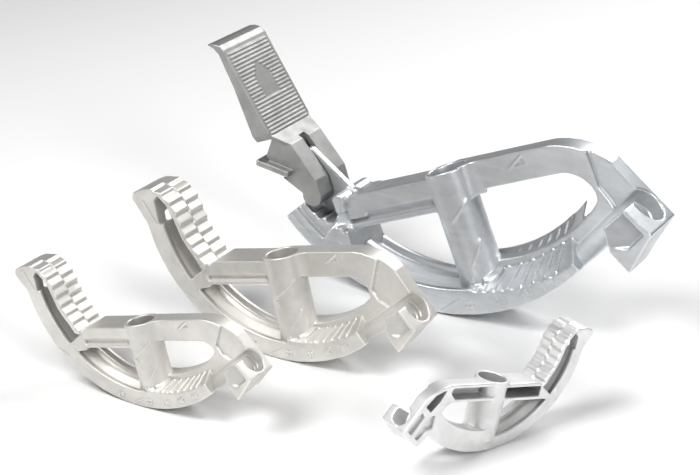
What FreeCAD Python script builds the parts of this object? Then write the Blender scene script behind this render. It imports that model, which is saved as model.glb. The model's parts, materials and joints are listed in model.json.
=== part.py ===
"""A set of four cast conduit bender heads, the largest with a hinged foot pedal. Millimetres, +Z up.

Each head is one aluminium casting: a round shoe whose rim is a half-round groove for the conduit, a
blind socket for the handle, an arm and a foot tread on one side of the socket, and on the other side
a nose that ends in the hook that holds the conduit. Every head stands on the rim of its own shoe.

A head is drawn in its casting frame: x runs along the arm towards the nose, z runs up the socket,
y = 0 is the middle of the groove, and the origin is the centre of the shoe's arc.
"""
import FreeCAD, Part
import math
import os
from FreeCAD import Vector

os.makedirs("parts", exist_ok=True)

# ---- the four sizes -------------------------------------------------------------------------------
# rim: radius of the shoe's rim; width: over both side walls; conduit: outside diameter it bends;
# bore, tube, socket: inside and outside diameter and x of the handle socket; mouth, arm_top, nose_top:
# heights in the casting frame; arm: the near and far y of the arm; nose_far: the far y of the nose;
# window, sill: right end of the nose's window, and its top below the nose's top, at DESIGN_RIM;
# wall: depth of the near wall at the socket and at the notch, at DESIGN_RIM;
# roll: how far the casting rocks back on its rim; x, y, yaw: its place.
HEADS = {
    "head_half_inch": dict(rim=108.0, width=31.0, conduit=17.9, bore=27.0, tube=33.0, socket=-13.0,
                           mouth=-38.0, arm_top=-40.0, nose_top=-38.0, arm=(-12.0, 15.5), nose_far=15.5,
                           window=80.0, sill=27.0, wall=(22.0, 16.0), roll=15.0,
                           x=220.0, y=-111.0, yaw=-113.6),
    "head_three_quarter_inch": dict(rim=135.0, width=38.0, conduit=23.4, bore=27.0, tube=33.5,
                                    socket=-15.0, mouth=-48.0, arm_top=-50.5, nose_top=-48.5,
                                    arm=(-14.5, 19.0), nose_far=17.5, window=80.0, sill=27.0,
                                    wall=(23.0, 14.0), roll=15.0, x=-111.0, y=-209.0, yaw=0.0),
    "head_one_inch": dict(rim=163.0, width=46.0, conduit=29.5, bore=33.8, tube=40.5, socket=-15.0,
                          mouth=-51.0, arm_top=-54.0, nose_top=-51.0, arm=(-17.5, 23.0), nose_far=21.0,
                          window=80.0, sill=27.0, wall=(23.0, 16.0), roll=13.7, x=-48.0, y=-50.5, yaw=0.0),
    "head_inch_and_quarter": dict(rim=239.0, width=70.0, conduit=38.4, bore=42.6, tube=49.5,
                                  socket=-20.0, mouth=-81.0, arm_top=-85.0, nose_top=-80.0,
                                  arm=(-19.0, 24.5), nose_far=25.0, window=97.0, sill=22.0,
                                  wall=(18.0, 7.0), roll=22.5, x=25.0, y=138.0, yaw=0.0),
}
PEDAL_HEAD = "head_inch_and_quarter"
DESIGN_RIM = 163.0            # the proportions below are those of the one inch head
GROOVE_INSET = 2.0            # the conduit's centre line lies this far inside the rim
GROOVE_PLAY = 0.5             # groove radius over the conduit's

# ---- proportions of a casting, at DESIGN_RIM ------------------------------------------------------
TOE_ANGLE = -176.0            # the shoe runs from the toe ...
PEDAL_TOE_ANGLE = -158.0      # ... which is shorter on the head that carries the pedal
NOTCH_ANGLE = -61.0           # ... to the notch, where a bend starts
RAIL_DEPTH = 20.0             # near wall, from rim to inner edge
LEFT_DEPTH = 19.0             # shoe depth between toe and socket
WALL_STEPS = 12               # the near wall's depth changes in this many steps from socket to notch
RIGHT_DEPTH = 34.0            # shoe depth between socket and nose, at the far side
ARM_DEPTH = 26.0
FLANGE = 5.5
ARM_WALL = 6.5                # thickness of the arm's near panel
HOOK_OUTLINE = [(39.0, -9.0), (63.0, -8.0), (65.0, 17.7), (31.0, 26.3), (31.0, 7.0)]  # (along, out) from
HOOK_POCKET = [(34.0, -12.0), (60.0, -12.0), (60.0, 13.7), (44.0, 13.7), (34.8, 5.8)]  # the notch
HOOK_POCKET_DEPTH = 8.0       # at its right end, falling to nothing at its left end
HOOK_STAND_OUT = 4.0
DISH_DEPTH = 3.5
CORNER = [(-17.0, 0.0), (-8.0, -3.0), (-1.5, -9.0), (0.0, -15.0)]     # right end of the nose's window
ROUND_CORNER = [(-20.5, 0.0), (-7.5, -6.0), (-0.7, -15.7), (0.0, -23.0), (-6.0, -30.0), (-12.3, -34.0)]
NOSE_OUTLINE = [(71.0, 0.0), (98.0, -8.5), (114.5, -22.0), (142.5, -75.0)]    # z below the nose's top
FOOT_OUTLINE = [(114.5, -149.0), (105.0, -142.0)]
TREAD_LINE = [(-102.0, -3.0), (-110.0, 13.0), (-117.0, 26.0), (-121.0, 41.0), (-123.5, 53.0),
              (-128.0, 65.0), (-136.0, 75.0), (-148.0, 81.0)]               # z above the arm's top
TREAD_THICK = 4.5
TREAD_STEPS = 8
STEP_RISE = 2.6

# ---- the pedal and its hinge, in the casting frame of the largest head ----------------------------
PIVOT = (-181.0, -74.0)
PIN_RADIUS = 5.0
PIN_PLAY = 0.05               # radial, in the ears; the pin is pressed into the fin
PIN_NEAR = -25.0              # the near ear's bore is blind, so no pin shows on that side
EAR_RADIUS = 12.0
EAR_HALF = 31.0               # half the width over the ears, which stand between the cheeks
PEDAL_HALF = 42.0             # half the width of the treadle
SLOT_HALF = 6.0
FIN_HALF = 4.6
SKIN = 5.0                    # thickness of the pedal's walls
PEDAL_FRONT = [(-220.0, 109.0), (-199.0, 4.0), (-184.0, -12.0), (-168.0, -58.0)]
PEDAL_LIP = [(-239.0, 120.0), (-230.0, 118.5), (-223.5, 115.0)]
PEDAL_BACK = [(-212.0, -44.0), (-222.0, -18.0), (-224.0, 65.0), (-228.0, 106.0), (-232.0, 113.0)]
STOP_PLATE = [(-230.0, -18.0), (-194.0, -40.0), (-197.0, -46.0), (-233.0, -24.0)]
RIB_COUNT = 23
RIB_HALF = 37.0
RIB_RISE = 1.2
CHEEK_THICK = 3.2
TOE_WALL = 19.0               # depth of the near wall beside the toe's steps
TOE_WALL_THICK = 7.0
TOE_WALL_CUT = (-162.0, -146.0)         # where the near wall is lowered to that depth
PEDAL_ARM_END = (-151.0, -8.0, -153.0)  # x of the arm's end at the top, its drop there, x at the lip
PEDAL_ARM_HOLLOW = -136.0
PEDAL_ARM_SLOPE = (-166.0, -152.0)      # x where the sloped face leaves the near wall, and meets the arm
PEDAL_POCKET_SHIFT = 4.0      # the nose's upper core stands this much further right on the pedal head


def spread(points):
    """Vectors in the casting's mid plane from (x, z) pairs."""
    return [Vector(x, 0, z) for x, z in points]


def prism(points, y_low, y_high):
    """A solid with the closed (x, z) outline, between two y planes."""
    corners = spread(points)
    face = Part.Face(Part.makePolygon(corners + corners[:1]))
    face.translate(Vector(0, y_low, 0))
    return face.extrude(Vector(0, y_high - y_low, 0))


def box(x0, x1, y0, y1, z0, z1):
    return Part.makeBox(x1 - x0, y1 - y0, z1 - z0, Vector(x0, y0, z0))


def ring(section, start, end):
    """The closed (radius, y) section swept about the shoe's centre from one angle to another."""
    turn = math.radians(start)
    corners = [Vector(r * math.cos(turn), y, r * math.sin(turn)) for r, y in section]
    face = Part.Face(Part.makePolygon(corners + corners[:1]))
    return face.revolve(Vector(0, 0, 0), Vector(0, -1, 0), end - start)


def arc_points(radius, start, end, count):
    turns = [math.radians(start + (end - start) * i / (count - 1)) for i in range(count)]
    return [(radius * math.cos(a), radius * math.sin(a)) for a in turns]


def curve_points(points, count):
    """The points of a smooth curve through the given (x, z) points."""
    curve = Part.BSplineCurve()
    curve.interpolate(spread(points))
    return [(p.x, p.z) for p in curve.discretize(count)]


class Casting:
    """The sizes of one head, worked out from its row in HEADS."""

    def __init__(self, spec):
        self.__dict__.update(spec)
        self.scale = self.rim / DESIGN_RIM
        self.half = self.width / 2
        self.line = self.rim - GROOVE_INSET                  # radius of the conduit's centre line
        self.groove = self.conduit / 2 + GROOVE_PLAY
        self.has_pedal = self.rim == HEADS[PEDAL_HEAD]["rim"]
        self.toe = PEDAL_TOE_ANGLE if self.has_pedal else TOE_ANGLE
        self.lip = self.arm_top - ARM_DEPTH * self.scale
        self.window_top = self.nose_top - self.sill * self.scale
        self.face = -1.0 * self.scale                        # near face of the nose
        self.bore_depth = 62 * self.scale + 8
        turn = math.radians(NOTCH_ANGLE)
        self.out = Vector(math.cos(turn), 0, math.sin(turn))
        self.along = Vector(-math.sin(turn), 0, math.cos(turn))
        self.start = self.out * self.line

    def at(self, along, out):
        """(x, z) of a place given along and out from the conduit's straight line at the nose."""
        p = self.start + self.along * (along * self.scale) + self.out * (out * self.scale)
        return (p.x, p.z)

    def nose_curve(self):
        s = self.scale
        bend = curve_points([(x * s, self.nose_top + z * s) for x, z in NOSE_OUTLINE[:3]], 15)
        tip_x, tip_drop = NOSE_OUTLINE[3]
        return bend + [(tip_x * s, (-51.0 + tip_drop) * s)]


def make_shoe(c):
    """The round shoe: two rails over a ridge on the toe side, a sloped back on the nose side."""
    s, half, rim = c.scale, c.half, c.rim
    left = [(rim, -half), (rim - RAIL_DEPTH * s, -half), (rim - RAIL_DEPTH * s, -half + 4.5 * s),
            (rim - 15.5 * s, -0.30 * c.width), (rim - 21.5 * s, -3 * s), (rim - 21.5 * s, 3 * s),
            (rim - 15.5 * s, 0.30 * c.width), (rim - LEFT_DEPTH * s, half - 4.5 * s),
            (rim - LEFT_DEPTH * s, half), (rim, half)]
    far = [(rim, c.face), (rim - 24 * s, c.face), (rim - RIGHT_DEPTH * s, half), (rim, half)]
    rings = [ring(left, c.toe, -95), ring(far, NOTCH_ANGLE - 2, -54)]
    pitch = (NOTCH_ANGLE + 97.0) / WALL_STEPS
    for step in range(WALL_STEPS):
        deep = c.wall[0] + (c.wall[1] - c.wall[0]) * step / (WALL_STEPS - 1)
        right = [(rim, -half), (rim - deep * s, -half), (rim - (deep + 1.5) * s, -half + 3 * s),
                 (rim - RIGHT_DEPTH * s, half - 6 * s), (rim - RIGHT_DEPTH * s, half), (rim, half)]
        rings.append(ring(right, -97.0 + pitch * step, -97.0 + pitch * (step + 1)))
    return rings


def make_socket(c):
    height = c.mouth + c.rim - 14 * c.scale
    return Part.makeCylinder(c.tube / 2, height, Vector(c.socket, 0, c.mouth - height))


def make_arm(c):
    """A channel, open at the far side, with a panel and a lower lip on its near face."""
    s = c.scale
    near, far = c.arm
    rail = c.rim - RAIL_DEPTH * s
    rail_x = -math.sqrt(rail ** 2 - c.lip ** 2)
    if c.has_pedal:
        top_x, drop, lip_x = PEDAL_ARM_END
        left = [(-92 * s, c.arm_top), (top_x, c.arm_top + drop), (lip_x, c.lip)]
        hollow_x = PEDAL_ARM_HOLLOW
        slope = [(PEDAL_ARM_SLOPE[0], -c.half), (PEDAL_ARM_SLOPE[1], near)]
    else:
        left = [(-92 * s, c.arm_top), (rail_x - 6 * s, c.lip + 7 * s), (rail_x - 6 * s, c.lip)]
        hollow_x, slope = rail_x + 16 * s, [(rail_x, -c.half), (rail_x + 14 * s, near)]
    body = prism([(c.socket, c.arm_top)] + left + [(c.socket, c.lip)], near, far)
    hollow = box(hollow_x, c.socket, near + ARM_WALL * s, far + 1, c.lip + FLANGE * s, c.arm_top - FLANGE * s)
    section = [(near - 1, c.lip + 12 * s), (near, c.lip + 12 * s), (near + 3.6 * s, c.lip + 8 * s),
               (near + 3.6 * s, c.lip + 5.5 * s), (near + 1.2 * s, c.lip + 4.2 * s),
               (near - 1, c.lip + 4.2 * s)]
    corners = [Vector(rail_x - 24 * s, y, z) for y, z in section]
    bevel = Part.Face(Part.makePolygon(corners + corners[:1])).extrude(Vector(-rail_x + 24 * s, 0, 0))
    # A sloped face joins the set-back panel to the near wall of the shoe.
    (x0, y0), (x1, y1) = slope
    edge = [(x0 - 16 * s, y0), (x0, y0), (x1, y1), (x1, far), (x0 - 16 * s, far)]
    corners = [Vector(x, y, c.lip - 3 * s) for x, y in edge]
    wedge = Part.Face(Part.makePolygon(corners + corners[:1])).extrude(Vector(0, 0, 40 * s))
    top = [(x1 + 1, c.lip - 3 * s), (x1 + 1, c.arm_top)] + left[:2] + [(x0 - 12 * s, c.lip - 3 * s)]
    return [body.cut(hollow).cut(bevel), wedge.common(prism(top, -c.half, near + ARM_WALL * s))]


def make_nose(c):
    """The plate that carries the hook: flanged edge, window, dished near face, cored far face."""
    s, far = c.scale, c.nose_far
    outline = [(c.socket, c.nose_top)] + c.nose_curve()
    outline += [(x * s, z * s) for x, z in FOOT_OUTLINE]
    outline += arc_points(c.rim - 6 * s, -54, -95, 12)
    plate = prism(outline, c.face, far)
    w = c.window * s
    inner = c.rim - RIGHT_DEPTH * s
    shape = ROUND_CORNER if c.has_pedal else CORNER
    corner = curve_points([(w + x * s, c.window_top + z * s) for x, z in shape], 4 * len(shape))
    bottom = math.degrees(math.asin(min(1, (0.94 * -c.window_top + 27 * s) / inner)))
    outer = inner
    if c.has_pedal:
        bottom = math.degrees(math.atan2(-corner[-1][1], corner[-1][0])) + 2
        outer = math.hypot(*corner[-1])
    angles = [-bottom + (bottom - 95) * i / 11.0 for i in range(12)]
    radii = [outer + (inner - outer) * i / 11.0 for i in range(12)]
    sill = [(r * math.cos(math.radians(a)), r * math.sin(math.radians(a))) for r, a in zip(radii, angles)]
    window = [(c.socket, c.window_top)] + corner + sill
    plate = plate.cut(prism(window, c.face - 1, c.half + 1))
    edge = FLANGE * s
    web = c.face + 5 * s
    beam = [(c.socket, c.nose_top - edge), (68 * s, c.nose_top - edge), (72 * s, c.nose_top - 12 * s),
            (63 * s, c.window_top + edge), (c.socket, c.window_top + edge)]
    plate = plate.cut(prism(beam, web, c.half + 1))
    top = c.nose_top / s + 51
    shift = PEDAL_POCKET_SHIFT if c.has_pedal else 0
    upper = [(80 + shift, -58 + top), (98 + shift, -66 + top), (112, -88), (101 + shift, -97), (90 + shift, -84)]
    strip = [(115, -97), (121, -101), (134, -124), (127, -129), (111, -103)]
    inner_pocket = [(92, -101), (102, -105), (120, -134), (114, -138), (102, -124), (92, -121)]
    pockets = [(upper, web), (strip, min(c.groove + 2, far - 3))]
    if not c.has_pedal:
        pockets.append((inner_pocket, min(c.groove + 2, far - 3)))
    for pocket, floor in pockets:
        plate = plate.cut(prism([(x * s, z * s) for x, z in pocket], floor, c.half + 1))
    dish = [(100, -56 + top), (118, -68), (132, -88), (150, -120), (150, -134), (128, -119), (110, -117),
            (c.window + 9, -103), (c.window + 4, -92)]
    return plate.cut(prism([(x * s, z * s) for x, z in dish], c.face - 1, c.face + DISH_DEPTH * s))


def make_hook(c):
    """The block that wraps the near side of the conduit, with a pocket that deepens along it."""
    s = c.scale
    low = -c.half - HOOK_STAND_OUT * s
    block = prism([c.at(*corner) for corner in HOOK_OUTLINE], low, c.face + (DISH_DEPTH + 1) * s)
    deep = low + HOOK_POCKET_DEPTH * s
    left, right = HOOK_POCKET[0][0], HOOK_POCKET[1][0]
    inner, outer = HOOK_POCKET[0][1], HOOK_OUTLINE[3][1]
    slope = [c.start + (c.along * along + c.out * inner) * s + Vector(0, y, 0)
             for along, y in ((left, low - 1), (right, low - 1), (right, deep), (left, low))]
    wedge = Part.Face(Part.makePolygon(slope + slope[:1])).extrude(c.out * ((outer - inner) * s))
    pocket = prism([c.at(*corner) for corner in HOOK_POCKET], low - 1, deep)
    return block.cut(pocket.common(wedge))


def make_channel(c):
    """What the conduit sweeps clear: the groove round the shoe and the straight way out of the hook."""
    g = c.groove
    circle = Part.Face(Part.Wire(Part.makeCircle(g, Vector(-c.line, 0, 0), Vector(0, 0, 1))))
    round_way = circle.revolve(Vector(0, 0, 0), Vector(0, -1, 0), 180 + NOTCH_ANGLE)
    open_rim = ring([(c.line, -g), (c.line + 40, -g), (c.line + 40, g), (c.line, g)], -180, -50)
    straight = Part.makeCylinder(g, 120 * c.scale, c.start, c.along)
    return round_way, open_rim, straight


def offset_line(line, distance):
    """The (x, z) points of a line moved sideways, each by its own distance, to the line's right."""
    moved = []
    for i, (x, z) in enumerate(line):
        ahead = line[min(i + 1, len(line) - 1)]
        behind = line[max(i - 1, 0)]
        dx, dz = ahead[0] - behind[0], ahead[1] - behind[1]
        size = math.hypot(dx, dz)
        moved.append((x + distance(i) * dz / size, z - distance(i) * dx / size))
    return moved


def make_tread(c):
    """The curled foot plate above the toe, with two columns of steps half a pitch apart."""
    s = c.scale
    line = curve_points([(x * s, c.arm_top + z * s) for x, z in TREAD_LINE], 4 * TREAD_STEPS + 1)
    back = offset_line(line, lambda i: -TREAD_THICK * s)[:28:4]
    toe = [(-160 * s, c.arm_top + 83 * s), (-172 * s, c.arm_top + 80 * s), (-176 * s, c.arm_top + 74 * s),
           (-172 * s, c.arm_top + 66 * s), (-163.5 * s, -8 * s), (-160.5 * s, -26 * s),
           (-148 * s, -24 * s), (-147 * s, c.arm_top + 70 * s), (-141 * s, c.arm_top + 75 * s)]
    halves = []
    for phase, low, high in ((0, -c.half, 0.0), (2, 0.0, c.half)):
        steps = offset_line(line, lambda i: STEP_RISE * s * (1 - (i + phase) % 4 / 3.0))
        halves.append(prism(steps + toe + back[::-1] + [(-100 * s, c.arm_top - 7 * s)], low, high))
    return halves


def make_toe_steps(c):
    """The short stair between the cheeks on the head whose tread is a separate pedal."""
    stair = [(-150.0, -120.0)]
    for step in range(4):
        x, z = -156.0 - 10.0 * step, -122.0 + 7.0 * step
        stair += [(x, z), (x, z + 7.0)]
    stair += [(-200.0, -92.0), (-210.0, -96.0), (-176.0, -134.0), (-150.0, -158.0)]
    return prism(stair, -c.half + 2, c.half - 2)


def make_lug(c):
    """The fin that holds the pin, the cheek beyond the far ear, and the ridge in front of them."""
    px, pz = PIVOT
    fin = prism([(-128, c.arm_top - 4), (-145, c.arm_top + 5), (-179, -26), (-184, -24), (px - 12, pz + 4),
                 (px - 12, pz - 6), (-191, -98), (-170, -130), (-128, -118)], -FIN_HALF, FIN_HALF)
    ridge = Part.makeCylinder(7.0, c.width, Vector(-152, -c.half, -86), Vector(0, 1, 0))
    foot = prism([(-159, -86), (-128, -86), (-128, -112), (-159, -112)], c.arm[0], c.half)
    prop = prism([(-159, -86), (-148, -86), (-148, -100), (-159, -100)], -c.half, c.arm[0] + 1)
    cheek = [(-201, -80), (-188, -78), (-159, -100), (-150, -130), (-176, -140), (-212, -95)]
    return [fin, ridge, foot, prop, prism(cheek, c.half - CHEEK_THICK, c.half)]


def make_pin_hole(radius, start):
    px, pz = PIVOT
    return Part.makeCylinder(radius, 80, Vector(px, start, pz), Vector(0, 1, 0))


def make_pedal():
    """The treadle with its curled lip and skirts, and the two ears either side of the slot."""
    px, pz = PIVOT
    ears = [(px + EAR_RADIUS * math.cos(math.radians(a)), pz + EAR_RADIUS * math.sin(math.radians(a)))
            for a in range(0, -211, -15)]
    shell = prism(PEDAL_LIP + PEDAL_FRONT + ears + PEDAL_BACK, -PEDAL_HALF, PEDAL_HALF)
    inside = [(-236, 101), (-225.5, 101), (-204, 2), (-189, -14), (-186, -34), (-204, -48), (-243, -34)]
    shell = shell.cut(prism(inside, -PEDAL_HALF + SKIN, PEDAL_HALF - SKIN))
    neck_wall = [(-212, -44), (-222, -18), (-204, 2), (-186, -14), (-184, -39)]
    for side in (-1, 1):
        corners = [Vector(-300, side * y, z) for y, z in
                   ((EAR_HALF, -12), (PEDAL_HALF, 8), (60, 8), (60, -120), (EAR_HALF, -120))]
        shell = shell.cut(Part.Face(Part.makePolygon(corners + corners[:1])).extrude(Vector(200, 0, 0)))
        walls = sorted((side * EAR_HALF, side * (EAR_HALF - SKIN)))
        shell = shell.fuse(prism(neck_wall, *walls))
    shell = shell.fuse(prism(STOP_PLATE, -PEDAL_HALF + 2, PEDAL_HALF - 2))
    shell = shell.cut(box(-210, -150, -SLOT_HALF, SLOT_HALF, -120, -8))
    shell = shell.cut(make_pin_hole(PIN_RADIUS + PIN_PLAY, PIN_NEAR - 1))
    return shell.multiFuse(make_ribs()).removeSplitter()


def make_ribs():
    """The ribs across the treadle, broken round a plain five-sided pad."""
    (x0, z0), (x1, z1) = PEDAL_FRONT[:2]
    length = math.hypot(x1 - x0, z1 - z0)
    ux, uz = (x1 - x0) / length, (z1 - z0) / length
    first, last = 7.0, length - 2.0
    pitch = (last - first) / (RIB_COUNT - 1)
    half = 0.27 * pitch
    ribs = []
    for i in range(RIB_COUNT):
        along = first + pitch * i
        middle = (along - 0.43 * length) / (0.21 * length)
        gap = 0.0 if abs(middle) > 1 else 15.0 if middle > -0.2 else 15.0 * (1 + middle) / 0.8
        spans = [(-RIB_HALF, RIB_HALF)] if gap < 2 else [(-RIB_HALF, -gap), (gap, RIB_HALF)]
        corners = [(x0 + ux * (along + a) - uz * r, z0 + uz * (along + a) + ux * r)
                   for a, r in ((-half, -RIB_RISE), (-half, RIB_RISE), (half, RIB_RISE), (half, -RIB_RISE))]
        ribs += [prism(corners, low, high) for low, high in spans]
    return ribs


def make_pin():
    px, pz = PIVOT
    length = EAR_HALF - 1 - PIN_NEAR
    return Part.makeCylinder(PIN_RADIUS, length, Vector(px, PIN_NEAR, pz), Vector(0, 1, 0))


def make_head(name):
    c = Casting(HEADS[name])
    solids = make_shoe(c) + make_arm(c) + [make_nose(c), make_hook(c), make_socket(c)]
    solids += make_lug(c) + [make_toe_steps(c)] if c.has_pedal else make_tread(c)
    body = solids[0].multiFuse(solids[1:])
    bore = Part.makeCylinder(c.bore / 2, c.bore_depth + 5, Vector(c.socket, 0, c.mouth - c.bore_depth))
    for cutter in list(make_channel(c)) + [bore]:
        body = body.cut(cutter)
    if c.has_pedal:
        body = body.cut(make_pin_hole(PIN_RADIUS, PIN_NEAR - 1))
        inside = c.rim - TOE_WALL
        beside = [(inside, -c.half - 1), (150, -c.half - 1), (150, -c.half + TOE_WALL_THICK),
                  (inside, -c.half + TOE_WALL_THICK)]
        body = body.cut(ring(beside, *TOE_WALL_CUT))
    return body.removeSplitter()


def stand(shape, name):
    """Rock a casting-frame shape back by its roll and stand it on its rim."""
    c = HEADS[name]
    shape.rotate(Vector(0, 0, 0), Vector(0, 1, 0), -c["roll"])
    shape.rotate(Vector(0, 0, 0), Vector(0, 0, 1), c["yaw"])
    shape.translate(Vector(c["x"], c["y"], c["rim"]))
    return shape


parts = {}
for head in HEADS:
    parts[head] = stand(make_head(head), head)

parts["foot_pedal"] = stand(make_pedal(), PEDAL_HEAD)
parts["pedal_pin"] = stand(make_pin(), PEDAL_HEAD)

# The origin is on the ground under the middle of the set's bounding box.
bounds = Part.makeCompound(list(parts.values())).optimalBoundingBox(False, False)
to_origin = Vector(-bounds.Center.x, -bounds.Center.y, -bounds.ZMin)

for node, shape in parts.items():
    shape.translate(to_origin)
    shape.exportStep("parts/" + node + ".step")
    print(node, "solids", len(shape.Solids), "valid", shape.isValid(), "cm3", round(shape.Volume / 1000, 1))

# The places that the record's mounts and hinge state, in the set's frame.
for head, spec in HEADS.items():
    c = Casting(spec)
    mouth = stand(Part.Vertex(Vector(c.socket, 0, c.mouth)), head).Point + to_origin
    deep = stand(Part.Vertex(Vector(c.socket, 0, c.mouth - c.bore_depth)), head).Point + to_origin
    print("socket", head, "mouth", [round(v, 2) for v in mouth], "bottom", [round(v, 2) for v in deep])
hinge = stand(Part.Vertex(Vector(PIVOT[0], 0, PIVOT[1])), PEDAL_HEAD).Point + to_origin
print("hinge", [round(v, 3) for v in hinge], "moved by", [round(v, 3) for v in to_origin])
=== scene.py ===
"""Four cast conduit bender heads, the largest with a hinged foot pedal, laid out as a Blender add-on.

Each casting keeps the shape and place of its solid. Its raised marks and fillets are built in the
casting's own frame, in millimetres: x runs along the arm towards the nose, z runs up the socket, y = 0
is the middle of the groove, and the origin is the centre of the shoe's arc. They are then grown
together with the solid and softened like a real casting.
"""
import json
import math

import bmesh
import bpy
from mathutils import Matrix, Vector


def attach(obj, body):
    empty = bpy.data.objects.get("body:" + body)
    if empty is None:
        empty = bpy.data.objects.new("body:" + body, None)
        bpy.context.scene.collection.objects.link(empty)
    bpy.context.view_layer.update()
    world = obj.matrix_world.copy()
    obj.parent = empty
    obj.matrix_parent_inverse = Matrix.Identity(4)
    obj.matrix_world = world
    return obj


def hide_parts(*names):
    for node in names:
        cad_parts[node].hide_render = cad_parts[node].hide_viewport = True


bl_info = {
    "name": "Conduit bender heads",
    "version": (1, 0, 0),
    "blender": (4, 5, 0),
    "location": "View3D > Sidebar > Bender heads",
    "description": "Cast aluminium conduit bender heads, with their marks, fillets and finishes",
    "category": "Object",
}

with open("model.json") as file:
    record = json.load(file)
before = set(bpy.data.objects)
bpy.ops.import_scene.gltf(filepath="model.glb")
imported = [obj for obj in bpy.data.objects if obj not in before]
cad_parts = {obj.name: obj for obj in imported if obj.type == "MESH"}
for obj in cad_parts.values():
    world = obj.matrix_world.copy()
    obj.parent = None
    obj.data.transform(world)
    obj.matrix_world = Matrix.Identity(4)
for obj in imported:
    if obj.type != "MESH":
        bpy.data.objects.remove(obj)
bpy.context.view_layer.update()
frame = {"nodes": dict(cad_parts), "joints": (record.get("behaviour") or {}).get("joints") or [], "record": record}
MM = 0.001
DESIGN_RIM = 163.0          # the proportions below are those of the one inch head
SOCKET_DEPTH = (62.0, 8.0)  # the part of a socket's depth that grows with the rim, and the part that doesn't
GROOVE_PLAY = 0.5           # groove radius over the conduit's
GROOVE_INSET = 2.0          # the conduit's centre line lies this far inside the rim
TOE_OF_TREAD = -170.0       # a shoe that starts before this angle has a tread and not a pedal
FINE_FACES = 190000         # the most triangles a casting keeps

# rim, half: radius and half the width of the shoe; conduit: outside diameter; wall: depth of its near
# wall at the socket and at the notch; socket, tube: x and outside diameter of the handle socket;
# mouth, nose_top: heights; toe: the angle where the shoe starts; skin: mesh spacing.
HEADS = {
    "head_half_inch": dict(
        rim=108.0, half=15.5, conduit=17.9, wall=(22.0, 16.0), socket=-13.0, tube=33.0, mouth=-38.0,
        nose_top=-38.0, toe=-176.0, skin=0.6, mount="half_inch_handle_socket",
        body="half_inch_head", slot="cast_warm", finish="Neutral casting"),
    "head_three_quarter_inch": dict(
        rim=135.0, half=19.0, conduit=23.4, wall=(23.0, 14.0), socket=-15.0, tube=33.5, mouth=-48.0,
        nose_top=-48.5, toe=-176.0, skin=0.72, mount="three_quarter_inch_handle_socket",
        body="three_quarter_inch_head", slot="cast_warm", finish="Warm casting"),
    "head_one_inch": dict(
        rim=163.0, half=23.0, conduit=29.5, wall=(23.0, 16.0), socket=-15.0, tube=40.5, mouth=-51.0,
        nose_top=-51.0, toe=-176.0, skin=0.85, mount="one_inch_handle_socket",
        body="one_inch_head", slot="cast_warm", finish="Warm casting"),
    "head_inch_and_quarter": dict(
        rim=239.0, half=35.0, conduit=38.4, wall=(18.0, 7.0), socket=-20.0, tube=49.5, mouth=-81.0,
        nose_top=-80.0, toe=-158.0, skin=1.15, mount="inch_and_quarter_handle_socket",
        body="inch_and_quarter_head", slot="cast_cool", finish="Cool casting"),
}
PEDAL_HEAD = "head_inch_and_quarter"
PEDAL_SKIN = 0.62
PEDAL_SOFTNESS = 2


def settings():
    return bpy.context.scene.bender_heads


class Head:
    """One casting's sizes, and the matrix from its own frame to the set's frame."""

    def __init__(self, node):
        self.__dict__.update(HEADS[node])
        self.scale = self.rim / DESIGN_RIM
        self.face = -1.0 * self.scale                   # near face of the nose
        self.radius = self.tube / 2
        self.depth = SOCKET_DEPTH[0] * self.scale + SOCKET_DEPTH[1]
        self.groove = self.conduit / 2 + GROOVE_PLAY
        mount = next(m for m in frame["record"]["mounts"] if m["name"] == self.mount)
        up = Vector(mount["axis"]).normalized()
        roll = math.acos(up.z)
        level = Vector((-up.x, -up.y, 0)).normalized()
        ahead = level * math.cos(roll) + Vector((0, 0, math.sin(roll)))
        side = up.cross(ahead)
        origin = Vector(mount["pos_m"]) / MM - up * (self.mouth - self.depth / 2) - ahead * self.socket
        turn = Matrix((ahead, side, up)).transposed().to_4x4()
        self.place = Matrix.Scale(MM, 4) @ Matrix.Translation(origin) @ turn

    def mark(self, size):
        """The size of a mark, which grows more slowly than the casting does."""
        return size * self.scale ** 0.6

    def digits(self, size):
        """The height of a number, which grows nearly as fast as the casting."""
        return size * self.scale ** 0.7

    def polar(self, depth, angle, y):
        """The place that lies `depth` under the rim at an angle in degrees."""
        turn = math.radians(angle)
        radius = self.rim - depth * self.scale
        return Vector((radius * math.cos(turn), y, radius * math.sin(turn)))


# ---- shapes ---------------------------------------------------------------------------------------

def add_bead(bm, points, radius):
    """A raised line: round bars between the points, with round ends."""
    for p in points:
        bmesh.ops.create_icosphere(bm, subdivisions=2, radius=radius, matrix=Matrix.Translation(p))
    for a, b in zip(points, points[1:]):
        run = b - a
        aim = run.to_track_quat("Z", "Y").to_matrix().to_4x4()
        bmesh.ops.create_cone(bm, cap_ends=True, segments=12, radius1=radius, radius2=radius,
                              depth=run.length, matrix=Matrix.Translation((a + b) / 2) @ aim)


def add_column(bm, outline, z_low, z_high):
    """A closed block with an (x, y) outline."""
    low = [bm.verts.new((x, y, z_low)) for x, y in outline]
    high = [bm.verts.new((x, y, z_high)) for x, y in outline]
    faces = [bm.faces.new(low[::-1]), bm.faces.new(high)]
    for i in range(len(outline)):
        j = (i + 1) % len(outline)
        faces.append(bm.faces.new((low[i], low[j], high[j], high[i])))
    bmesh.ops.recalc_face_normals(bm, faces=faces)


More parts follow.
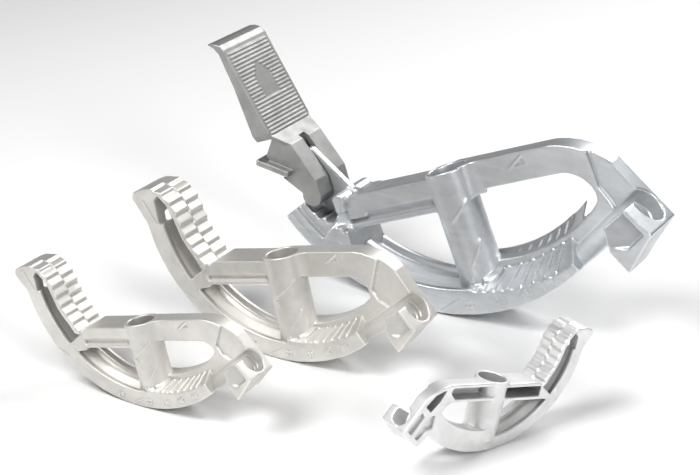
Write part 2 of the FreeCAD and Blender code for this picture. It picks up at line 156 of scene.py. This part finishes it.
def add_number(bm, text, size, raise_by, at, right, up):
    """Raised digits, centred on a place, reading along `right` with `up` upwards."""
    curve = bpy.data.curves.new("digits", "FONT")
    curve.body = text
    curve.size = size
    curve.extrude = raise_by
    curve.offset = 0.02 * size
    curve.align_x = "CENTER"
    curve.align_y = "CENTER"
    curve.resolution_u = 3
    holder = bpy.data.objects.new("digits", curve)
    bpy.context.scene.collection.objects.link(holder)
    bpy.context.view_layer.update()
    mesh = bpy.data.meshes.new_from_object(holder.evaluated_get(bpy.context.evaluated_depsgraph_get()))
    right = right.normalized()
    up = up.normalized()
    mesh.transform(Matrix.Translation(at) @ Matrix((right, up, right.cross(up))).transposed().to_4x4())
    bm.from_mesh(mesh)
    bpy.data.objects.remove(holder)
    bpy.data.curves.remove(curve)
    bpy.data.meshes.remove(mesh)


def new_piece(name, mesh):
    piece = bpy.data.objects.new(name, mesh)
    bpy.context.scene.collection.objects.link(piece)
    return piece


def settle(piece):
    """Puts what the piece's modifiers make into its mesh."""
    bpy.context.view_layer.update()
    mesh = bpy.data.meshes.new_from_object(piece.evaluated_get(bpy.context.evaluated_depsgraph_get()))
    piece.modifiers.clear()
    piece.data = mesh


def regrow(piece, voxel, rounds):
    """Grows the piece's solids into one skin and softens the edges."""
    grow = piece.modifiers.new("Grow", "REMESH")
    grow.mode = "VOXEL"
    grow.voxel_size = voxel
    grow.use_smooth_shade = True
    soft = piece.modifiers.new("Soften", "SMOOTH")
    soft.factor = 0.5
    soft.iterations = rounds
    settle(piece)


def thin(piece, faces):
    """Brings the piece's triangles down to a number."""
    piece.data.calc_loop_triangles()
    count = len(piece.data.loop_triangles)
    if count > faces:
        fewer = piece.modifiers.new("Thin", "DECIMATE")
        fewer.ratio = faces / count
        settle(piece)


def casting(name, node, marks, place, voxel, rounds, faces):
    """The soft-edged piece that stands for a solid, with its marks grown onto it."""
    bm = bmesh.new()
    bm.from_mesh(frame["nodes"][node].data)
    bmesh.ops.remove_doubles(bm, verts=bm.verts, dist=1e-6)
    mesh = bpy.data.meshes.new(name)
    bm.to_mesh(mesh)
    bm.free()
    piece = new_piece(name, mesh)
    step = voxel * 1.0 * MM
    regrow(piece, step, rounds)
    bm = bmesh.new()
    bm.from_mesh(piece.data)
    marks.transform(place)
    extra = bpy.data.meshes.new("marks")
    marks.to_mesh(extra)
    marks.free()
    bm.from_mesh(extra)
    bm.to_mesh(piece.data)
    bm.free()
    bpy.data.meshes.remove(extra)
    regrow(piece, step * 0.9, 2)
    thin(piece, faces)
    for face in piece.data.polygons:
        face.use_smooth = True
    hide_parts(node)
    return piece


# ---- marks ----------------------------------------------------------------------------------------

SOCKET_ANGLE = -97.0        # the near wall gets shallower from here ...
NOTCH_ANGLE = -61.0         # ... to the notch
SLOPE_FOOT = 34.0           # depth of the far edge of the shoe's sloped back
SHOE_LINES = (-88.0, -83.5, -79.0, -75.0, -71.0, -67.0)
RAIL_LINES = (((1.5, -105.5), (12.0, -99.5)), ((1.5, -148.5), (7.0, -142.5)))     # (depth, angle) of the ends
RAIL_NUMBERS = ((-112.0, "10"), (-96.5, "22"), (-86.5, "30"), (-78.5, "45"), (-70.0, "60"))
RAIL_DIGITS = 7.5
SOCKET_DIGITS = 6.0
DIGIT_RELIEF = 1.2
# share of the way down the socket, first and last angle round it, and rise from end to end
SOCKET_LINES = ((0.46, -98.0, -34.0, 15.0), (0.85, -74.0, -34.0, 17.0))
SOCKET_NUMBERS = ((0.55, -104.0, "45"), (0.98, -90.0, "60"))
SOCKET_FOOT = 0.86          # the socket's marks are spread over its height down to this share of the rim
FILLET_BLEND = 13.0         # radius of the hollow between the socket and the nose
FILLET_HEIGHT = 25.0
FILLET_SINK = 1.6           # how far the fillet reaches into the socket's wall
ROLL_RADIUS = 3.2           # the blend at the socket's foot
ROLL_ANGLES = (-50.0, 22.0)
ARROW_PLACE = (37.0, 11.5)  # x of the arrow's tip, and its depth under the nose's top
ARROW_ARMS = ((13.0, 8.0), (15.0, 1.0))
CHANNEL_RIBS = (45.5, 51.0)             # along the conduit's straight way, from the notch
CHANNEL_RIB_ANGLES = (48.0, 125.0)      # round the conduit, from the outer side


def shoe_marks(bm, h):
    """Raised lines on the sloped back of the shoe and numbers on its near wall."""
    s = h.scale
    for angle in SHOE_LINES:
        share = (angle - SOCKET_ANGLE) / (NOTCH_ANGLE - SOCKET_ANGLE)
        deep = h.wall[0] + (h.wall[1] - h.wall[0]) * share
        low = h.polar(deep - 6.0, angle - 1.6, -h.half)
        near = h.polar(deep + 1.4, angle, -h.half + 2.0 * s)
        far = h.polar(SLOPE_FOOT - 1.5, angle + 4.5, h.half - 9.0 * s)
        add_bead(bm, [low, near, far], h.mark(0.9))
    for angle, text in RAIL_NUMBERS:
        turn = math.radians(angle)
        right = Vector((-math.sin(turn), 0, math.cos(turn)))
        inward = Vector((-math.cos(turn), 0, -math.sin(turn)))
        add_number(bm, text, h.digits(RAIL_DIGITS), DIGIT_RELIEF, h.polar(8.0, angle, -h.half), right, inward)
    for ends in RAIL_LINES:
        add_bead(bm, [h.polar(depth, angle, -h.half) for depth, angle in ends], h.mark(0.9))
    if h.toe < TOE_OF_TREAD:
        add_bead(bm, [h.polar(1.0, h.toe - 9.5, -h.half), h.polar(12.0, h.toe - 0.5, -h.half)], 1.0)
    else:
        add_bead(bm, [h.polar(6.5, h.toe + 0.8, -h.half), h.polar(6.5, h.toe + 9.0, -h.half)], 1.5)


def socket_marks(bm, h):
    """Two slanted raised lines and small numbers on the near side of the socket."""

    def on_tube(angle, z):
        turn = math.radians(angle)
        return Vector((h.socket + h.radius * math.cos(turn), h.radius * math.sin(turn), z))

    height = -h.rim * SOCKET_FOOT - h.mouth
    for share, start, end, rise in SOCKET_LINES:
        z = h.mouth + height * share
        points = [on_tube(start + (end - start) * i / 8, z + rise * h.scale * i / 8) for i in range(9)]
        add_bead(bm, points, h.mark(0.85))
    for share, angle, text in SOCKET_NUMBERS:
        turn = math.radians(angle)
        out = Vector((math.cos(turn), math.sin(turn), 0))
        add_number(bm, text, h.digits(SOCKET_DIGITS), DIGIT_RELIEF, on_tube(angle, h.mouth + height * share),
                   Vector((0, 0, 1)).cross(out), Vector((0, 0, 1)))


def socket_fillet(bm, h):
    """The hollow blend from the socket's side into the near face of the nose."""
    blend = FILLET_BLEND * h.scale
    run = math.sqrt((h.radius + blend) ** 2 - (blend - h.face) ** 2)
    centre = (h.socket + run, h.face - blend)
    last = math.atan2(-centre[1], h.socket - centre[0])
    arc = [(centre[0] + blend * math.cos(a), centre[1] + blend * math.sin(a))
           for a in (math.pi / 2 + (last - math.pi / 2) * i / 10 for i in range(11))]
    # The blend ends inside the socket's wall and leaves the bore clear.
    inside = h.radius - FILLET_SINK
    meet = math.atan2(arc[-1][1], arc[-1][0] - h.socket)
    wall = [(h.socket + inside * math.cos(meet * i / 4), inside * math.sin(meet * i / 4))
            for i in range(4, -1, -1)]
    outline = arc + wall + [(centre[0], h.face + 3.0 * h.scale)]
    add_column(bm, outline, h.nose_top - FILLET_HEIGHT * h.scale, h.nose_top - 0.3 * h.scale)


def shoe_fillet(bm, h):
    """The blend from the foot of the socket's right side into the slope of the shoe."""
    s = h.scale
    first, last = ROLL_ANGLES
    roll = []
    for i in range(13):
        turn = math.radians(first + (last - first) * i / 12)
        x = h.socket + (h.radius + 1.0 * s) * math.cos(turn)
        y = (h.radius + 1.0 * s) * math.sin(turn)
        across = (y + h.half) / (2.0 * h.half)
        deep = h.wall[0] + (SLOPE_FOOT - h.wall[0]) * across
        roll.append(Vector((x - 1.5 * s, y, -math.sqrt((h.rim - deep * s) ** 2 - x * x))))
    add_bead(bm, roll, ROLL_RADIUS * s)


def nose_marks(bm, h):
    """The raised arrow near the top of the nose and two small ribs at the end of the channel."""
    s = h.scale
    tip = Vector((ARROW_PLACE[0] * s, h.face, h.nose_top - ARROW_PLACE[1] * s))
    arrow = [tip] + [tip + Vector((x * s, 0, z * s)) for x, z in ARROW_ARMS] + [tip]
    add_bead(bm, arrow[:2], h.mark(1.3))
    add_bead(bm, arrow[1:], h.mark(0.8))
    turn = math.radians(NOTCH_ANGLE)
    out = Vector((math.cos(turn), 0, math.sin(turn)))
    along = Vector((-math.sin(turn), 0, math.cos(turn)))
    first, last = CHANNEL_RIB_ANGLES
    for ahead in CHANNEL_RIBS:
        middle = out * (h.rim - GROOVE_INSET) + along * (ahead * s)
        rib = [middle + out * (h.groove * math.cos(a)) + Vector((0, h.groove * math.sin(a), 0))
               for a in (math.radians(first + (last - first) * i / 7) for i in range(8))]
        add_bead(bm, rib, h.mark(1.0))


def head_marks(node):
    h = Head(node)
    bm = bmesh.new()
    shoe_marks(bm, h)
    socket_marks(bm, h)
    socket_fillet(bm, h)
    shoe_fillet(bm, h)
    nose_marks(bm, h)
    return h, bm


# ---- finishes -------------------------------------------------------------------------------------

def group_input(group, name, value):
    """Gives a node group a number to be set, with its default."""
    socket = group.interface.new_socket(name, in_out="INPUT", socket_type="NodeSocketFloat")
    socket.default_value = value


def node(tree, kind, **values):
    """Adds a node with some of its properties set."""
    made = tree.nodes.new(kind)
    for key, value in values.items():
        setattr(made, key, value)
    return made


def noise(tree, vector, scale, detail, roughness=0.5):
    made = node(tree, "ShaderNodeTexNoise")
    made.inputs["Scale"].default_value = scale
    made.inputs["Detail"].default_value = detail
    made.inputs["Roughness"].default_value = roughness
    tree.links.new(vector, made.inputs["Vector"])
    return made.outputs["Fac"]


def ramp(tree, value, low, high, to_low=0.0, to_high=1.0):
    """Maps a value from one range to another, clamped at both ends."""
    made = node(tree, "ShaderNodeMapRange")
    for name, number in (("From Min", low), ("From Max", high), ("To Min", to_low), ("To Max", to_high)):
        made.inputs[name].default_value = number
    tree.links.new(value, made.inputs["Value"])
    return made.outputs["Result"]


def maths(tree, operation, a, b):
    made = node(tree, "ShaderNodeMath", operation=operation)
    for socket, value in zip(made.inputs, (a, b)):
        if isinstance(value, (int, float)):
            socket.default_value = value
        else:
            tree.links.new(value, socket)
    return made.outputs["Value"]


def cast_skin_group():
    """Sandy grain, cloudy mottling and flow streaks of a die casting."""
    group = bpy.data.node_groups.new("Cast skin", "ShaderNodeTree")
    group_input(group, "Grain Size", 0.0008)
    group_input(group, "Cloud Size", 0.03)
    for name in ("Grain", "Cloud", "Streak"):
        group.interface.new_socket(name, in_out="OUTPUT", socket_type="NodeSocketFloat")
    source = node(group, "NodeGroupInput")
    sink = node(group, "NodeGroupOutput")
    place = node(group, "ShaderNodeTexCoord").outputs["Object"]

    def sized(socket):
        scaled = node(group, "ShaderNodeVectorMath", operation="DIVIDE")
        group.links.new(place, scaled.inputs[0])
        group.links.new(source.outputs[socket], scaled.inputs[1])
        return scaled.outputs["Vector"]

    fine = sized("Grain Size")
    cloud = sized("Cloud Size")
    grain = maths(group, "ADD", noise(group, fine, 1.0, 3.0, 0.6), noise(group, fine, 0.28, 2.0))
    stretch = node(group, "ShaderNodeMapping")
    stretch.inputs["Rotation"].default_value = (0.2, 0.9, 0.4)
    stretch.inputs["Scale"].default_value = (0.6, 5.0, 5.0)
    group.links.new(cloud, stretch.inputs["Vector"])
    group.links.new(maths(group, "MULTIPLY", grain, 0.5), sink.inputs["Grain"])
    group.links.new(ramp(group, noise(group, cloud, 1.0, 5.0, 0.6), 0.34, 0.66), sink.inputs["Cloud"])
    group.links.new(ramp(group, noise(group, stretch.outputs["Vector"], 1.0, 4.0, 0.65), 0.42, 0.72),
                    sink.inputs["Streak"])


def painted_light_group():
    """Painted highlight along the sharp raised edges, and painted shade in the corners, creases and bores."""
    group = bpy.data.node_groups.new("Painted edge highlight and shade", "ShaderNodeTree")
    group_input(group, "Reach", 0.05)
    group_input(group, "Depth", 0.03)
    for name in ("Raised", "Painted Shade"):
        group.interface.new_socket(name, in_out="OUTPUT", socket_type="NodeSocketFloat")
    source = node(group, "NodeGroupInput")
    sink = node(group, "NodeGroupOutput")
    sharp = node(group, "ShaderNodeNewGeometry").outputs["Pointiness"]
    off = maths(group, "DIVIDE", maths(group, "SUBTRACT", sharp, 0.5), source.outputs["Reach"])
    # Raised: a painted highlight mask on the sharp convex edges, from pointiness.
    group.links.new(ramp(group, off, 0.25, 1.0), sink.inputs["Raised"])
    # The second output is painted shade: concave creases, and places that ambient occlusion finds shut in, such as
    # the socket bores.
    shut = node(group, "ShaderNodeAmbientOcclusion", samples=6)
    group.links.new(source.outputs["Depth"], shut.inputs["Distance"])
    hollow = ramp(group, shut.outputs["AO"], 0.62, 0.12)
    group.links.new(maths(group, "MAXIMUM", ramp(group, off, -0.2, -0.8), hollow), sink.inputs["Painted Shade"])


def mix_colour(tree, factor, a, b):
    made = node(tree, "ShaderNodeMix", data_type="RGBA")
    tree.links.new(factor, made.inputs["Factor"])
    for socket, value in ((made.inputs[6], a), (made.inputs[7], b)):
        if isinstance(value, bpy.types.NodeSocket):
            tree.links.new(value, socket)
        else:
            socket.default_value = (*value, 1.0)
    return made.outputs[2]


def cast_finish(name, tone, cloud_tone, streak_and_highlight_tone, painted_shade_tone, rough, grain, cloud_size, streak=0.0):
    """A satin cast metal with mottling, painted highlights on its edges, painted shade in its corners and a sandy
    bump.
    """
    material = bpy.data.materials.new(name)
    material.use_nodes = True
    tree = material.node_tree
    skin = node(tree, "ShaderNodeGroup", node_tree=bpy.data.node_groups["Cast skin"])
    skin.inputs["Cloud Size"].default_value = cloud_size
    edges = node(tree, "ShaderNodeGroup", node_tree=bpy.data.node_groups["Painted edge highlight and shade"])
    shader = tree.nodes["Principled BSDF"]
    colour = mix_colour(tree, skin.outputs["Cloud"], tone, cloud_tone)
    if streak:
        amount = maths(tree, "MULTIPLY", skin.outputs["Streak"], streak)
        # The flow streaks are mixed towards the same light tone that paints the edge highlight.
        colour = mix_colour(tree, amount, colour, streak_and_highlight_tone)
    # Painted shade: corners, creases and the socket bores are mixed towards a dark tone.
    colour = mix_colour(tree, maths(tree, "MULTIPLY", edges.outputs["Painted Shade"], 0.75), colour, painted_shade_tone)
    # Painted highlight: the sharp raised edges are mixed towards a light tone.
    colour = mix_colour(tree, maths(tree, "MULTIPLY", edges.outputs["Raised"], 0.85), colour, streak_and_highlight_tone)
    tree.links.new(colour, shader.inputs["Base Color"])
    level = ramp(tree, skin.outputs["Cloud"], 0.0, 1.0, rough - 0.05, rough + 0.07)
    level = maths(tree, "SUBTRACT", level, maths(tree, "MULTIPLY", edges.outputs["Raised"], 0.12))
    tree.links.new(level, shader.inputs["Roughness"])
    shader.inputs["Metallic"].default_value = 0.8
    bump = node(tree, "ShaderNodeBump")
    bump.inputs["Strength"].default_value = grain
    bump.inputs["Distance"].default_value = 0.0004
    tree.links.new(skin.outputs["Grain"], bump.inputs["Height"])
    tree.links.new(bump.outputs["Normal"], shader.inputs["Normal"])
    return material


def wear(piece, finish):
    """Gives a piece one finish."""
    piece.data.materials.clear()
    piece.data.materials.append(bpy.data.materials[finish])


# ---- the add-on -----------------------------------------------------------------------------------

class BenderHeadSettings(bpy.types.PropertyGroup):
    """Sizes and colours of the castings that a user may want to change."""

    skin: bpy.props.FloatProperty(
        name="Skin Step", description="Spacing of the castings' meshes, over the built one",
        default=1.0, min=0.5, max=4.0)
    softness: bpy.props.IntProperty(
        name="Softness", description="Rounds of softening of the castings' edges",
        default=4, min=0, max=20)
    warm: bpy.props.FloatVectorProperty(
        name="Warm Casting", description="Colour of the two middle heads", subtype="COLOR",
        default=(0.79, 0.77, 0.735))
    neutral: bpy.props.FloatVectorProperty(
        name="Neutral Casting", description="Colour of the smallest head", subtype="COLOR",
        default=(0.88, 0.88, 0.875))
    cool: bpy.props.FloatVectorProperty(
        name="Cool Casting", description="Colour of the largest head", subtype="COLOR",
        default=(0.665, 0.685, 0.705))
    pedal: bpy.props.FloatVectorProperty(
        name="Pedal Casting", description="Colour of the foot pedal", subtype="COLOR",
        default=(0.43, 0.43, 0.42))
    floor: bpy.props.FloatVectorProperty(
        name="Floor", description="Colour of the floor", subtype="COLOR", default=(0.97, 0.97, 0.97))


def shade(colour, factor):
    """A lighter or darker version of a colour."""
    return tuple(min(1.0, c * factor) for c in colour)


class BENDER_OT_finishes(bpy.types.Operator):
    """Make the cast and steel finishes"""
    bl_idname = "bender.finishes"
    bl_label = "Make Finishes"

    def execute(self, context):
        cast_skin_group()
        painted_light_group()
        s = settings()
        for name, colour, rough, grain, cloud, streak in (
                ("Warm casting", s.warm, 0.5, 0.35, 0.03, 0.0),
                ("Neutral casting", s.neutral, 0.48, 0.3, 0.025, 0.0),
                ("Cool casting", s.cool, 0.4, 0.3, 0.035, 0.35),
                ("Pedal casting", s.pedal, 0.5, 0.3, 0.02, 0.0)):
            # The 0.86 tone is mottling, the 1.28 tone is the painted edge highlight (and the cool casting's
            # streaks), and the 0.34 tone is painted shade.
            cast_finish(name, tuple(colour), shade(colour, 0.86), shade(colour, 1.28),
                        shade(colour, 0.34), rough, grain, cloud, streak)
        # The steel pin's third and fourth colours are its painted edge highlight and its painted shade.
        cast_finish("Steel pin", (0.42, 0.43, 0.45), (0.36, 0.37, 0.39), (0.6, 0.6, 0.62),
                    (0.2, 0.2, 0.2), 0.3, 0.1, 0.01)
        return {"FINISHED"}


def make_head(name):
    """One head's casting, with its marks, finish and body."""
    h, marks = head_marks(name)
    piece = casting(name + "_casting", name, marks, h.place, h.skin * settings().skin,
                    settings().softness, FINE_FACES)
    wear(piece, h.finish)
    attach(piece, h.body)


class BENDER_OT_half_inch(bpy.types.Operator):
    """Make the half inch head"""
    bl_idname = "bender.half_inch"
    bl_label = "Half Inch Head"

    def execute(self, context):
        make_head("head_half_inch")
        return {"FINISHED"}


class BENDER_OT_three_quarter_inch(bpy.types.Operator):
    """Make the three quarter inch head"""
    bl_idname = "bender.three_quarter_inch"
    bl_label = "Three Quarter Inch Head"

    def execute(self, context):
        make_head("head_three_quarter_inch")
        return {"FINISHED"}


class BENDER_OT_one_inch(bpy.types.Operator):
    """Make the one inch head"""
    bl_idname = "bender.one_inch"
    bl_label = "One Inch Head"

    def execute(self, context):
        make_head("head_one_inch")
        return {"FINISHED"}


class BENDER_OT_inch_and_quarter(bpy.types.Operator):
    """Make the inch and a quarter head"""
    bl_idname = "bender.inch_and_quarter"
    bl_label = "Inch and a Quarter Head"

    def execute(self, context):
        make_head("head_inch_and_quarter")
        return {"FINISHED"}


class BENDER_OT_pedal(bpy.types.Operator):
    """Make the foot pedal and finish its pin"""
    bl_idname = "bender.pedal"
    bl_label = "Foot Pedal"

    def execute(self, context):
        h = Head(PEDAL_HEAD)
        marks = bmesh.new()
        piece = casting("foot_pedal_casting", "foot_pedal", marks, h.place, PEDAL_SKIN, PEDAL_SOFTNESS,
                        FINE_FACES)
        wear(piece, "Pedal casting")
        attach(piece, "pedal")
        wear(frame["nodes"]["pedal_pin"], "Steel pin")
        return {"FINISHED"}


# ---- the stage ------------------------------------------------------------------------------------

FLOOR_HALF = 6.0
FLOOR_DROP = 0.0005
SKY_LOW, SKY_HIGH = 1.0, 1.25           # the studio's brightness near the floor and overhead
# place, aim, size and power of each soft light
LIGHTS = {
    "Key": ((-0.7, -1.2, 1.9), (0.0, 0.0, 0.05), 1.2, 40.0),
    "Side": ((1.5, -0.9, 1.3), (0.0, 0.0, 0.08), 0.8, 17.0),
    "Back": ((0.3, 1.6, 1.7), (0.0, 0.0, 0.1), 1.2, 30.0),
}
CAMERA_LENS = 97.2
CAMERA_AZIMUTH, CAMERA_ELEVATION = 31.0, 24.0
CAMERA_DISTANCE = 1.944
CAMERA_AIM = (0.1139, -0.1380, 0.0174)  # from the pedal's hinge

def area_light(name, place, aim, size, power):
    light = bpy.data.lights.new(name, "AREA")
    light.shape = "DISK"
    light.size = size
    light.energy = power
    lamp = bpy.data.objects.new(name, light)
    bpy.context.scene.collection.objects.link(lamp)
    lamp.location = place
    lamp.rotation_euler = (Vector(aim) - Vector(place)).to_track_quat("-Z", "Y").to_euler()


class BENDER_OT_stage(bpy.types.Operator):
    """Make the floor, the lights and the camera"""
    bl_idname = "bender.stage"
    bl_label = "Stage"

    def execute(self, context):
        scene = context.scene
        bm = bmesh.new()
        bmesh.ops.create_grid(bm, x_segments=8, y_segments=8, size=FLOOR_HALF)
        mesh = bpy.data.meshes.new("floor")
        bm.to_mesh(mesh)
        bm.free()
        floor = new_piece("floor", mesh)
        floor.location.z = -FLOOR_DROP
        material = bpy.data.materials.new("Pale floor")
        material.use_nodes = True
        shader = material.node_tree.nodes["Principled BSDF"]
        shader.inputs["Base Color"].default_value = (*settings().floor, 1.0)
        shader.inputs["Roughness"].default_value = 0.9
        shader.inputs["Specular IOR Level"].default_value = 0.1
        floor.data.materials.append(material)

        world = bpy.data.worlds.new("Studio")
        world.use_nodes = True
        scene.world = world
        tree = world.node_tree
        sky = tree.nodes["Background"]
        turn = node(tree, "ShaderNodeTexCoord").outputs["Generated"]
        split = node(tree, "ShaderNodeSeparateXYZ")
        tree.links.new(turn, split.inputs[0])
        level = ramp(tree, split.outputs["Z"], -0.1, 0.9, SKY_LOW, SKY_HIGH)
        seen = node(tree, "ShaderNodeLightPath").outputs["Is Camera Ray"]
        level = maths(tree, "MAXIMUM", level, seen)
        tree.links.new(level, sky.inputs["Strength"])

        for name, (place, aim, size, power) in LIGHTS.items():
            area_light(name, place, aim, size, power)

        camera = bpy.data.cameras.new("Camera")
        camera.lens = CAMERA_LENS
        camera.sensor_width = 36.0
        eye = bpy.data.objects.new("Camera", camera)
        scene.collection.objects.link(eye)
        hinge = next(j for j in frame["joints"] if j["name"] == "pedal_hinge")
        target = Vector(hinge["pos_m"]) + Vector(CAMERA_AIM)
        azimuth, elevation = math.radians(CAMERA_AZIMUTH), math.radians(CAMERA_ELEVATION)
        away = Vector((math.sin(azimuth) * math.cos(elevation), -math.cos(azimuth) * math.cos(elevation),
                       math.sin(elevation)))
        eye.location = target + away * CAMERA_DISTANCE
        eye.rotation_euler = (-away).to_track_quat("-Z", "Y").to_euler()
        scene.camera = eye
        scene.view_settings.view_transform = "Standard"
        return {"FINISHED"}


class BENDER_PT_panel(bpy.types.Panel):
    """Lists the pieces and the settings"""
    bl_idname = "BENDER_PT_panel"
    bl_label = "Bender heads"
    bl_space_type = "VIEW_3D"
    bl_region_type = "UI"
    bl_category = "Bender heads"

    def draw(self, context):
        for name in BenderHeadSettings.__annotations__:
            self.layout.prop(settings(), name)
        for operator in OPERATORS:
            self.layout.operator(operator.bl_idname)


OPERATORS = (BENDER_OT_stage, BENDER_OT_finishes, BENDER_OT_half_inch, BENDER_OT_three_quarter_inch,
             BENDER_OT_one_inch, BENDER_OT_inch_and_quarter, BENDER_OT_pedal)
CLASSES = (BenderHeadSettings, *OPERATORS, BENDER_PT_panel)


def register():
    for c in CLASSES:
        bpy.utils.register_class(c)
    bpy.types.Scene.bender_heads = bpy.props.PointerProperty(type=BenderHeadSettings)


def unregister():
    del bpy.types.Scene.bender_heads
    for c in reversed(CLASSES):
        bpy.utils.unregister_class(c)


def main():
    register()
    bpy.ops.bender.stage()
    bpy.ops.bender.finishes()
    bpy.ops.bender.half_inch()
    bpy.ops.bender.three_quarter_inch()
    bpy.ops.bender.one_inch()
    bpy.ops.bender.inch_and_quarter()
    bpy.ops.bender.pedal()


if __name__ == "__main__":
    main()
